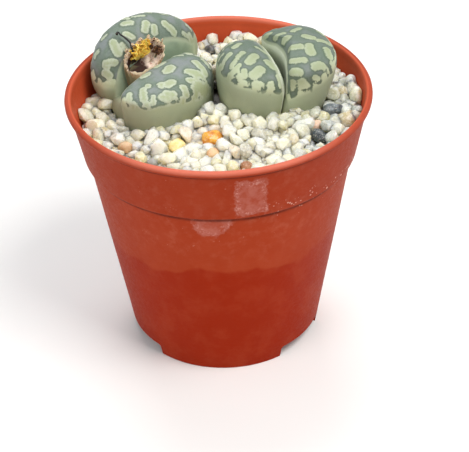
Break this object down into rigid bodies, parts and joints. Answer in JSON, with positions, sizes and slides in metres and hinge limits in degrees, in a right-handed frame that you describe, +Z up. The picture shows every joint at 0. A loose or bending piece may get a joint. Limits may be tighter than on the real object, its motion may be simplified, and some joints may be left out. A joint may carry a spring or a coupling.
{
  "type": "potted lithops",
  "caption": "Round nursery pot of living-stone succulents: patterned paired leaves, one pair holding a dried flower, in potting soil dressed with quartz grit.",
  "frame": {"origin": "on the pot's axis at the level its foot stands on", "axes": "+Z up along the pot's axis, -Y towards the front, +X to the right as seen from the front"},
  "size_m": [0.055, 0.055, 0.0575],
  "materials": {
    "terracotta_plastic": "moulded, semi-matt, slightly bloomed",
    "potting_soil": "rough, dark",
    "quartz_grit": "broken, translucent",
    "leaf_skin": "waxy, matt, patterned",
    "papery_husk": "dry, papery",
    "dried_petal": "dry, crumpled",
    "dried_core": "dry, crumpled",
    "dried_thread": "dry",
    "stone_amber": "worn pebble",
    "stone_yellow": "worn pebble",
    "stone_slate_front": "worn pebble",
    "stone_slate_back": "worn pebble",
    "stone_brown": "worn pebble",
    "stone_pink": "worn pebble",
    "stone_tan_left": "worn pebble",
    "stone_tan_front": "worn pebble",
    "stone_grey_front": "worn pebble",
    "stone_dark_back": "worn pebble"
  },
  "bodies": {
    "root": {"pot": "terracotta_plastic", "potting_soil": "potting_soil", "quartz_grit": "quartz_grit", "leaf_pair_left": "leaf_skin", "leaf_pair_right": "leaf_skin", "flower_husk": "papery_husk", "flower_petals": "dried_petal", "flower_core": "dried_core", "flower_thread": "dried_thread", "stone_amber": "stone_amber", "stone_yellow": "stone_yellow", "stone_slate_front": "stone_slate_front", "stone_slate_back": "stone_slate_back", "stone_brown": "stone_brown", "stone_pink": "stone_pink", "stone_tan_left": "stone_tan_left", "stone_tan_front": "stone_tan_front", "stone_grey_front": "stone_grey_front", "stone_dark_back": "stone_dark_back"}
  },
  "joints": []
}
